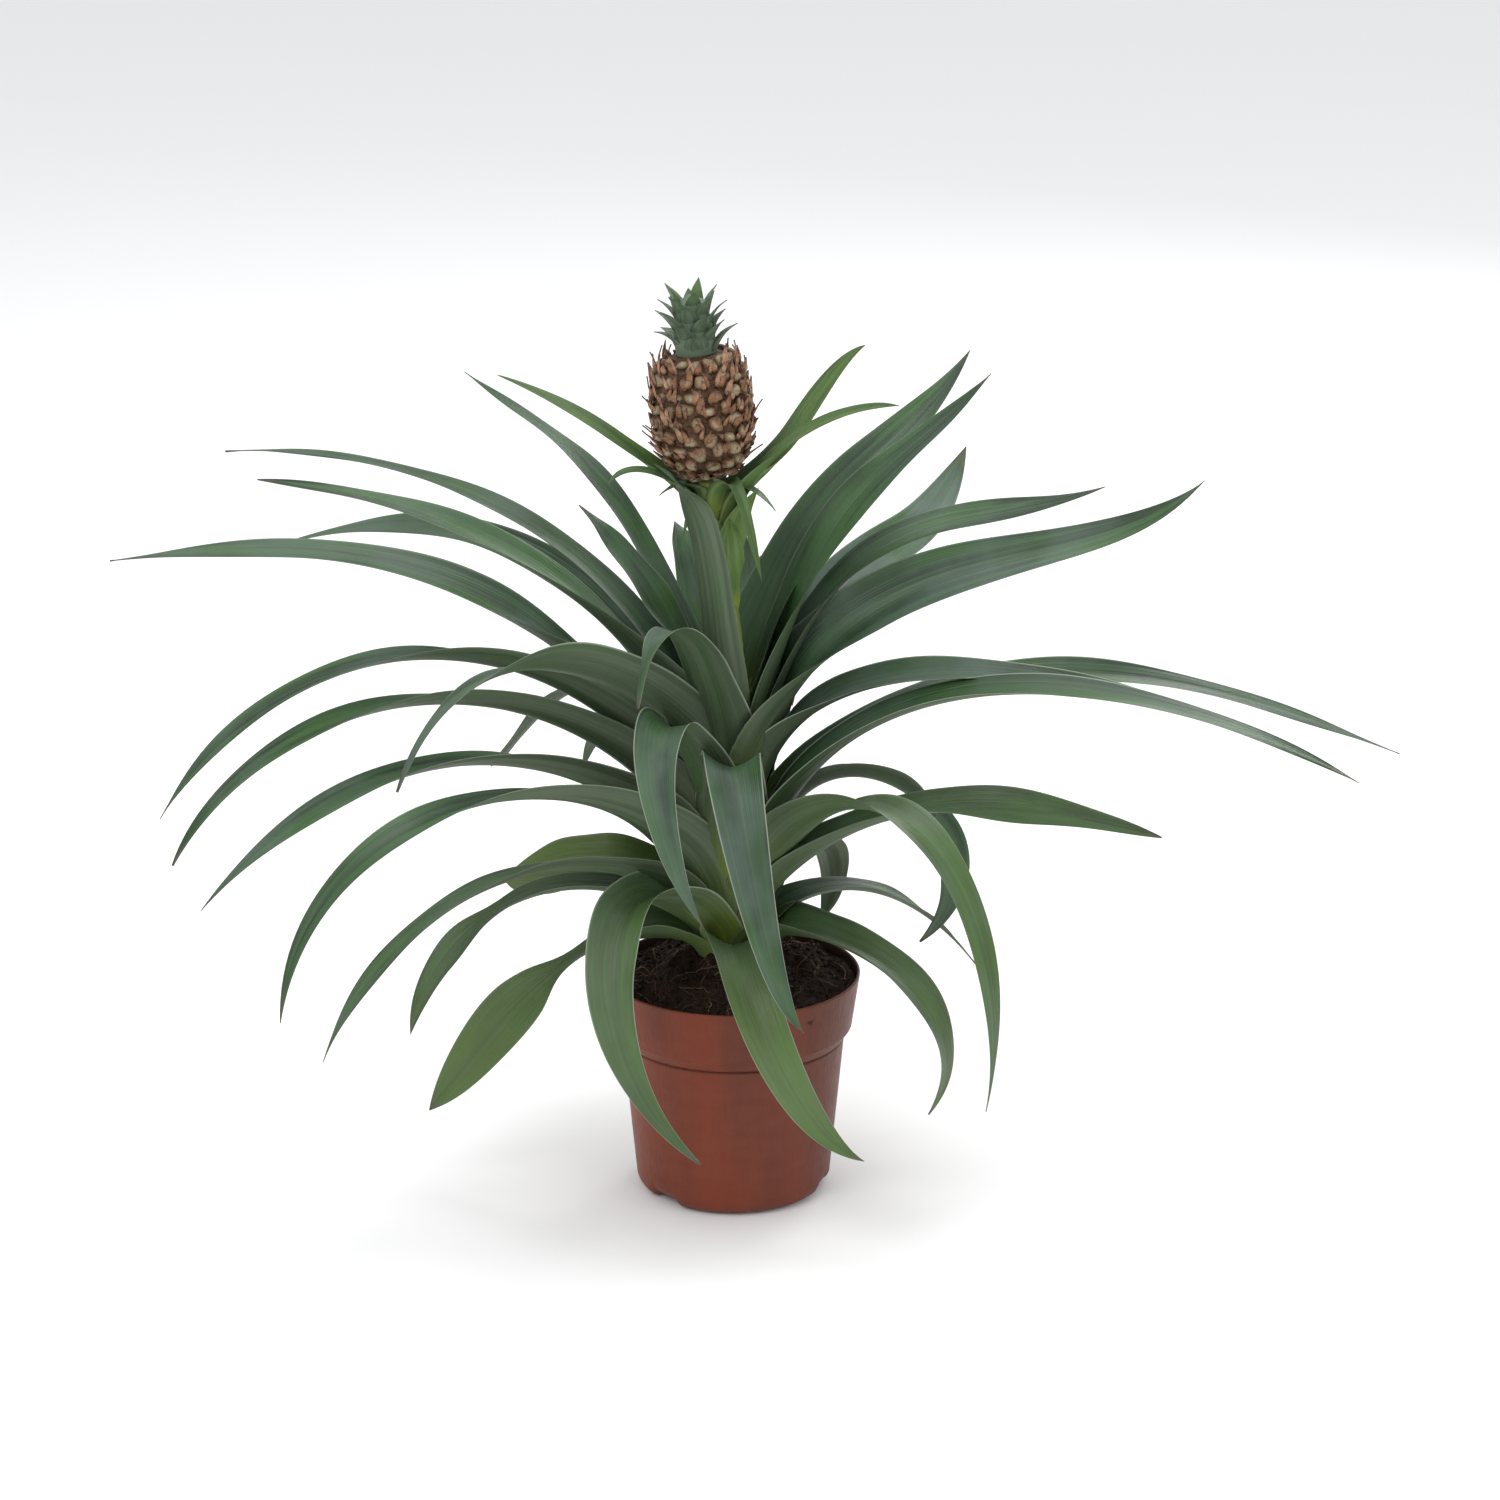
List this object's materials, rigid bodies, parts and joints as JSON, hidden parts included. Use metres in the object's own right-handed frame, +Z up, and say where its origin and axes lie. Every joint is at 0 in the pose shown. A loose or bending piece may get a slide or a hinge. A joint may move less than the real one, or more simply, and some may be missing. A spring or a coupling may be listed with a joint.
{
  "type": "potted pineapple plant",
  "caption": "Dwarf pineapple plant in a tapered nursery pot: a rosette of arching sword leaves round a stalk with a small fruit and leafy crown.",
  "frame": {"origin": "centre of the pot's flat underside", "axes": "+Z up along the pot, +X to the right seen from the front, -Y towards the front"},
  "size_m": [0.6183, 0.3326, 0.4377],
  "materials": {
    "terracotta_plastic": "satin",
    "peat_soil": "matte",
    "stalk_green": "matte",
    "fruit_rind": "matte",
    "crown_green": "matte",
    "leaf_green": "satin",
    "bract_green": "satin"
  },
  "bodies": {
    "root": {"bract_back": "bract_green", "bract_front_hanging": "bract_green", "bract_left_long": "bract_green", "bract_left_short": "bract_green", "bract_right_arched": "bract_green", "bract_right_long": "bract_green", "crown": "crown_green", "fruit": "fruit_rind", "leaf_back_01": "leaf_green", "leaf_back_02": "leaf_green", "leaf_back_03": "leaf_green", "leaf_back_04": "leaf_green", "leaf_back_05": "leaf_green", "leaf_back_06": "leaf_green", "leaf_back_07": "leaf_green", "leaf_back_08": "leaf_green", "leaf_back_09": "leaf_green", "leaf_front_01": "leaf_green", "leaf_front_02": "leaf_green", "leaf_front_03": "leaf_green", "leaf_front_04": "leaf_green", "leaf_front_05": "leaf_green", "leaf_front_06": "leaf_green", "leaf_left_01": "leaf_green", "leaf_left_02": "leaf_green", "leaf_left_03": "leaf_green", "leaf_left_04": "leaf_green", "leaf_left_05": "leaf_green", "leaf_left_06": "leaf_green", "leaf_left_07": "leaf_green", "leaf_left_08": "leaf_green", "leaf_left_09": "leaf_green", "leaf_left_10": "leaf_green", "leaf_left_11": "leaf_green", "leaf_left_12": "leaf_green", "leaf_left_13": "leaf_green", "leaf_left_14": "leaf_green", "leaf_left_15": "leaf_green", "leaf_left_16": "leaf_green", "leaf_right_01": "leaf_green", "leaf_right_02": "leaf_green", "leaf_right_03": "leaf_green", "leaf_right_04": "leaf_green", "leaf_right_05": "leaf_green", "leaf_right_06": "leaf_green", "leaf_right_07": "leaf_green", "leaf_right_08": "leaf_green", "leaf_right_09": "leaf_green", "leaf_right_10": "leaf_green", "leaf_right_11": "leaf_green", "leaf_right_12": "leaf_green", "leaf_right_13": "leaf_green", "leaf_right_14": "leaf_green", "pot": "terracotta_plastic", "soil": "peat_soil", "stem": "stalk_green"}
  },
  "joints": []
}
